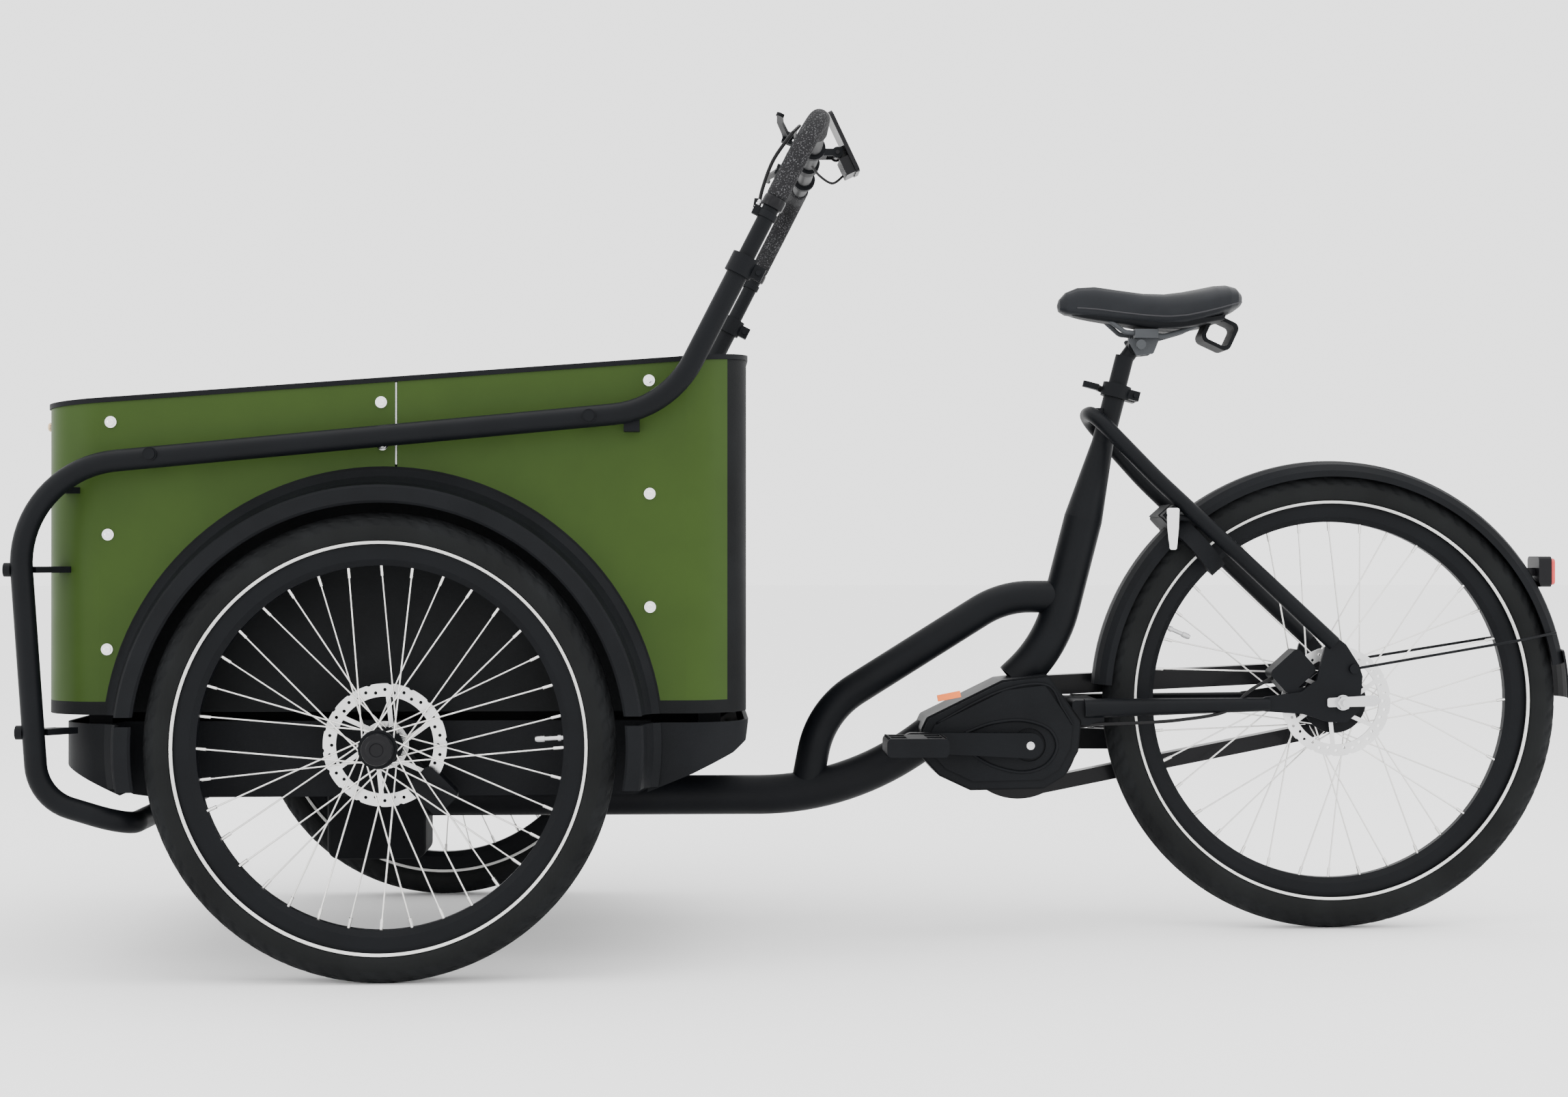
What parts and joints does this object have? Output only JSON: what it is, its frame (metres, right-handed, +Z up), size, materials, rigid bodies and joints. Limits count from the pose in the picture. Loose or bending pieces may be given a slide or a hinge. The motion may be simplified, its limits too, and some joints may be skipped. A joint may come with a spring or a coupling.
{
  "type": "cargo tricycle",
  "caption": "Three-wheeled cargo bike with a green-sided box between two steered front wheels, mid-drive motor and one rear wheel.",
  "frame": {"origin": "on the ground under the middle of the machine", "axes": "+X points to the rear, +Y to the rider's right, +Z up"},
  "size_m": [2.1637, 0.889, 1.1921],
  "materials": {
    "frame_black": "satin",
    "box_black": "matte",
    "panel_green": "satin",
    "moulded_black": "matte",
    "gloss_black": "gloss",
    "tyre": "matte",
    "rim_black": "satin",
    "steel": "brushed",
    "chrome": "polished",
    "aluminium": "satin",
    "foam": "matte",
    "saddle": "satin",
    "lens_red": "clear"
  },
  "bodies": {
    "rear_frame": {"lower_tube": "frame_black", "upper_tube": "frame_black", "seat_tube": "frame_black", "seat_stays": "frame_black", "chain_stays": "frame_black", "dropouts": "frame_black", "steering_head": "frame_black", "motor_housing": "frame_black", "motor_cover": "moulded_black", "chain_case": "gloss_black", "drive_chain": "steel", "rear_fender": "moulded_black", "fender_stays": "frame_black", "tail_light_housing": "gloss_black", "tail_light_lens": "lens_red", "rear_caliper": "frame_black", "ring_lock_body": "moulded_black", "seat_clamp": "frame_black"},
    "front_module": {"chassis_frame": "frame_black", "lower_tray": "moulded_black", "box_tub": "box_black", "side_panels": "panel_green", "front_panel": "panel_green", "rim_trim": "moulded_black", "wheel_arches": "moulded_black", "handle_rails": "frame_black", "rail_fixings": "frame_black", "panel_screws": "steel", "front_lamps": "gloss_black", "front_calipers": "frame_black"},
    "handlebar": {"handlebar_tube": "frame_black", "grips": "foam", "bar_fittings": "moulded_black"},
    "display": {"display": "gloss_black"},
    "brake_lever_left": {"brake_lever_left": "aluminium"},
    "brake_lever_right": {"brake_lever_right": "aluminium"},
    "front_left_wheel": {"front_left_tyre": "tyre", "front_left_rim": "rim_black", "front_left_spokes": "steel", "front_left_hub": "frame_black"},
    "front_right_wheel": {"front_right_tyre": "tyre", "front_right_rim": "rim_black", "front_right_spokes": "steel", "front_right_hub": "frame_black"},
    "rear_wheel": {"rear_tyre": "tyre", "rear_rim": "rim_black", "rear_spokes": "steel", "rear_hub": "frame_black"},
    "crank": {"crank_arms": "frame_black", "chainring": "steel"},
    "pedal_left": {"pedal_left": "moulded_black"},
    "pedal_right": {"pedal_right": "moulded_black"},
    "sprocket": {"rear_sprocket": "steel"},
    "seat_post": {"seat_post": "frame_black"},
    "saddle": {"saddle_cover": "saddle", "saddle_base": "moulded_black", "saddle_rails": "steel"},
    "seat_lever": {"seat_lever": "frame_black"},
    "lock_shackle": {"lock_shackle": "chrome"},
    "lock_key": {"lock_key": "chrome"}
  },
  "joints": [
    {"name": "steering", "type": "hinge", "parent": "rear_frame", "child": "front_module", "pos_m": [-0.6055, 0, 0.26], "axis": [0, 0, 1], "range_deg": [-30, 30]},
    {"name": "front_left_wheel_spin", "type": "hinge", "parent": "front_module", "child": "front_left_wheel", "pos_m": [-0.6052, -0.4025, 0.3005], "axis": [0, 1, 0], "continuous": true},
    {"name": "front_right_wheel_spin", "type": "hinge", "parent": "front_module", "child": "front_right_wheel", "pos_m": [-0.6052, 0.4025, 0.3005], "axis": [0, 1, 0], "continuous": true},
    {"name": "rear_wheel_spin", "type": "hinge", "parent": "rear_frame", "child": "rear_wheel", "pos_m": [0.7279, 0, 0.3345], "axis": [0, 1, 0], "continuous": true},
    {"name": "crank_spin", "type": "hinge", "parent": "rear_frame", "child": "crank", "pos_m": [0.2745, 0, 0.275], "axis": [0, 1, 0], "continuous": true},
    {"name": "sprocket_spin", "type": "hinge", "parent": "rear_frame", "child": "sprocket", "pos_m": [0.7279, 0.05, 0.3345], "axis": [0, 1, 0], "continuous": true},
    {"name": "pedal_left_spin", "type": "hinge", "parent": "crank", "child": "pedal_left", "pos_m": [0.1045, -0.145, 0.28], "axis": [0, 1, 0], "continuous": true},
    {"name": "pedal_right_spin", "type": "hinge", "parent": "crank", "child": "pedal_right", "pos_m": [0.4445, 0.145, 0.27], "axis": [0, 1, 0], "continuous": true},
    {"name": "handlebar_slide", "type": "slide", "parent": "front_module", "child": "handlebar", "axis": [0.4543, 0, 0.8908], "range_m": [-0.02, 0.06]},
    {"name": "display_tilt", "type": "hinge", "parent": "handlebar", "child": "display", "pos_m": [0.0035, 0, 1.132], "axis": [0, 1, 0], "range_deg": [-20, 20]},
    {"name": "brake_lever_left_pull", "type": "hinge", "parent": "handlebar", "child": "brake_lever_left", "pos_m": [-0.07284, -0.14, 1.12997], "axis": [0.3676, 0, 0.93], "range_deg": [0, 10], "stiffness_Nm_per_rad": 0.6, "springref_deg": -5.73},
    {"name": "brake_lever_right_pull", "type": "hinge", "parent": "handlebar", "child": "brake_lever_right", "pos_m": [-0.07284, 0.14, 1.12997], "axis": [-0.3676, 0, -0.93], "range_deg": [0, 10], "stiffness_Nm_per_rad": 0.6, "springref_deg": -5.73},
    {"name": "seat_height", "type": "slide", "parent": "rear_frame", "child": "seat_post", "axis": [0.2498, 0, 0.9683], "range_m": [-0.02, 0.1]},
    {"name": "saddle_tilt", "type": "hinge", "parent": "seat_post", "child": "saddle", "pos_m": [0.4445, 0, 0.853], "axis": [0, 1, 0], "range_deg": [-5, 5]},
    {"name": "seat_lever_open", "type": "hinge", "parent": "rear_frame", "child": "seat_lever", "pos_m": [0.43701, 0.025, 0.77026], "axis": [0.2498, 0, 0.9683], "range_deg": [-110, 0]},
    {"name": "lock_shackle_turn", "type": "hinge", "parent": "rear_frame", "child": "lock_shackle", "pos_m": [0.52448, 0, 0.56042], "axis": [0.7431, 0, 0.6691], "range_deg": [-92, 0]},
    {"name": "lock_key_turn", "type": "hinge", "parent": "rear_frame", "child": "lock_key", "pos_m": [0.483, -0.061, 0.60649], "axis": [0, 1, 0], "range_deg": [0, 60]}
  ],
  "couplings": [
    {"joint": "sprocket_spin", "follows": "crank_spin", "ratio": 2}
  ]
}
